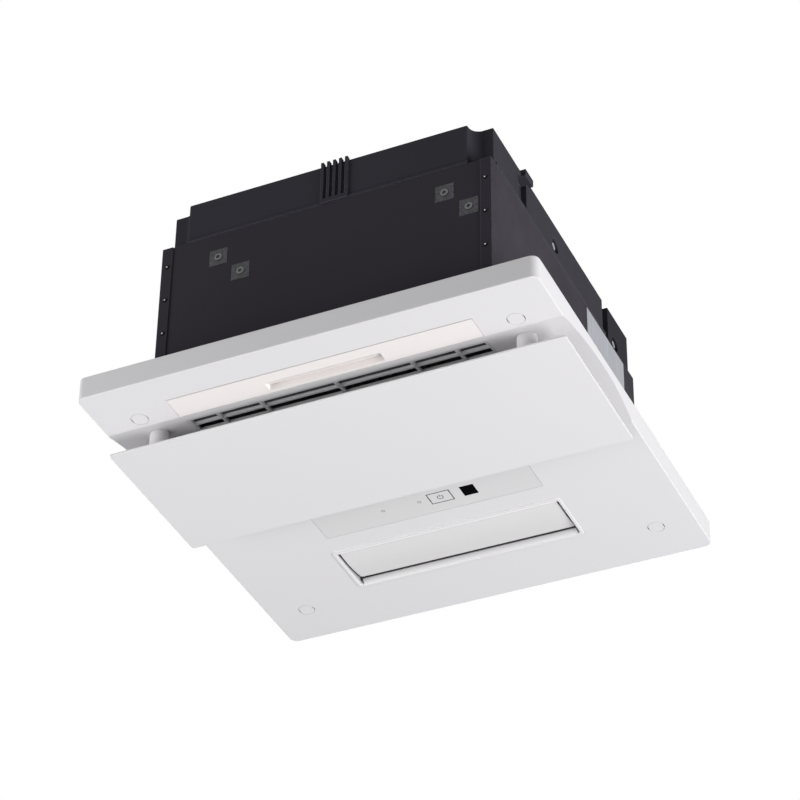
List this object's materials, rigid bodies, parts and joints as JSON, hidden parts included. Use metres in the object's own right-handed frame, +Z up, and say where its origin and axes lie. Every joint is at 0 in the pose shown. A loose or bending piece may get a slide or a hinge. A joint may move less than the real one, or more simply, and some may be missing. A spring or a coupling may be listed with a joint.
{
  "type": "bathroom ceiling heater",
  "caption": "Ceiling-recessed bathroom heater and ventilator: white panel with a hanging cover over an arched intake, pull-out filter, outlet louver and black housing with a duct spigot.",
  "frame": {"origin": "middle of the ceiling plane, on which the panel's rim sits", "axes": "+Z up into the ceiling, +X to the right of someone at the filter side, +Y away from that side, towards the duct"},
  "size_m": [0.46, 0.473, 0.2625],
  "materials": {
    "panel_white": "fine satin moulded white",
    "strip_white": "smooth moulded white",
    "grille_grey": "dark grey moulding",
    "mesh_grey": "woven filter net",
    "window_black": "polished black",
    "lens_clear": "frosted light guide",
    "housing_black": "black coated sheet steel",
    "lid_black": "black moulding, fine texture",
    "zinc_steel": "zinc-plated",
    "black_steel": "black rivets",
    "patch_film": "dark adhesive film",
    "silver_plate": "satin, bare",
    "impeller_grey": "grey moulding",
    "motor_steel": "grey coated",
    "heater_alloy": "pressed fins",
    "heater_plastic": "heat-proof moulding",
    "board_green": "solder-masked board",
    "fitting_black": "moulded fittings"
  },
  "bodies": {
    "root": {"front_panel": "panel_white", "hanging_cover": "panel_white", "cover_posts": "panel_white", "screw_caps": "panel_white", "control_strip": "strip_white", "outlet_frame": "strip_white", "intake_grille": "grille_grey", "filter_rails": "grille_grey", "receiver_window": "window_black", "indicator_lenses": "lens_clear", "left_wall": "housing_black", "right_wall": "housing_black", "near_plate": "housing_black", "far_plate": "housing_black", "deck_plate": "housing_black", "partition_plate": "housing_black", "lid_cover": "lid_black", "control_box": "lid_black", "duct_adaptor": "lid_black", "cable_gland": "lid_black", "scroll_wall": "lid_black", "scroll_top": "lid_black", "fan_floor": "lid_black", "inlet_ring": "lid_black", "outlet_duct": "lid_black", "mounting_flange": "zinc_steel", "panel_screws": "zinc_steel", "motor_screws": "zinc_steel", "duct_screws": "zinc_steel", "lid_screws": "zinc_steel", "fixing_bushes": "zinc_steel", "wall_rivets": "black_steel", "hole_patches": "patch_film", "side_plate": "silver_plate", "damper_bearings": "impeller_grey", "fan_motor": "motor_steel", "louver_motor": "motor_steel", "damper_motor": "motor_steel", "thermal_cutout": "motor_steel", "heater_core": "heater_alloy", "heater_frame": "heater_plastic", "control_board": "board_green", "display_board": "board_green", "button_switch": "fitting_black", "terminal_block": "fitting_black", "board_standoffs": "fitting_black"},
    "louver": {"outlet_louver": "strip_white"},
    "filter": {"filter_front": "strip_white", "filter_frame": "grille_grey", "filter_mesh": "mesh_grey"},
    "mode_key": {"mode_button": "strip_white"},
    "fan_wheel": {"impeller": "impeller_grey", "motor_shaft": "zinc_steel"},
    "damper": {"damper_flap": "impeller_grey", "damper_shaft": "zinc_steel"},
    "backdraft": {"backdraft_flap": "impeller_grey", "flap_pin": "zinc_steel"}
  },
  "joints": [
    {"name": "louver_swing", "type": "hinge", "parent": "root", "child": "louver", "pos_m": [0, 0.1165, -0.015], "axis": [-1, 0, 0], "range_deg": [0, 70]},
    {"name": "filter_slide", "type": "slide", "parent": "root", "child": "filter", "axis": [0, -0.9272, -0.3746], "range_m": [0, 0.1]},
    {"name": "mode_press", "type": "slide", "parent": "root", "child": "mode_key", "axis": [0, 0, 1], "range_m": [0, 0.001], "stiffness_N_per_m": 600},
    {"name": "fan_spin", "type": "hinge", "parent": "root", "child": "fan_wheel", "pos_m": [0, -0.075, 0.1], "axis": [0, 0, 1], "continuous": true},
    {"name": "damper_swing", "type": "hinge", "parent": "root", "child": "damper", "pos_m": [0, 0.17, 0.052], "axis": [1, 0, 0], "range_deg": [0, 88]},
    {"name": "backdraft_swing", "type": "hinge", "parent": "root", "child": "backdraft", "pos_m": [0, 0.1949, 0.142], "axis": [1, 0, 0], "range_deg": [0, 35]}
  ]
}
